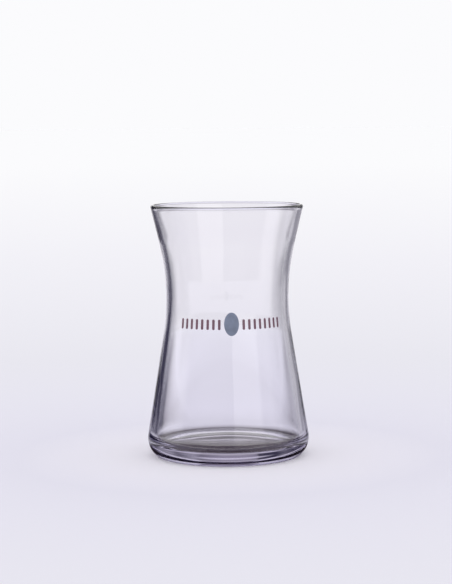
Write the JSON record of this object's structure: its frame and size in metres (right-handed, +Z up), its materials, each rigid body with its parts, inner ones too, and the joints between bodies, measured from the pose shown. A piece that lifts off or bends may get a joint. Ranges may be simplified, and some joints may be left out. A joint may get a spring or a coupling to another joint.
{
  "type": "turkish tea glass",
  "caption": "Small waisted drinking glass for hot tea, clear glass with a flared thin rim, a narrow waist, a wide lower bowl and a thick base with a rounded heel.",
  "frame": {"origin": "centre of the standing ring under the base, on the surface the glass stands on", "axes": "+Z up along the axis of the glass, -Y towards the viewer of the printed side, +X to the viewer's right"},
  "size_m": [0.0602, 0.0602, 0.0934],
  "materials": {
    "glass": "clear polished glass",
    "enamel_red": "fired enamel print",
    "enamel_blue": "fired enamel print"
  },
  "bodies": {
    "root": {"glass": "glass"}
  },
  "joints": []
}
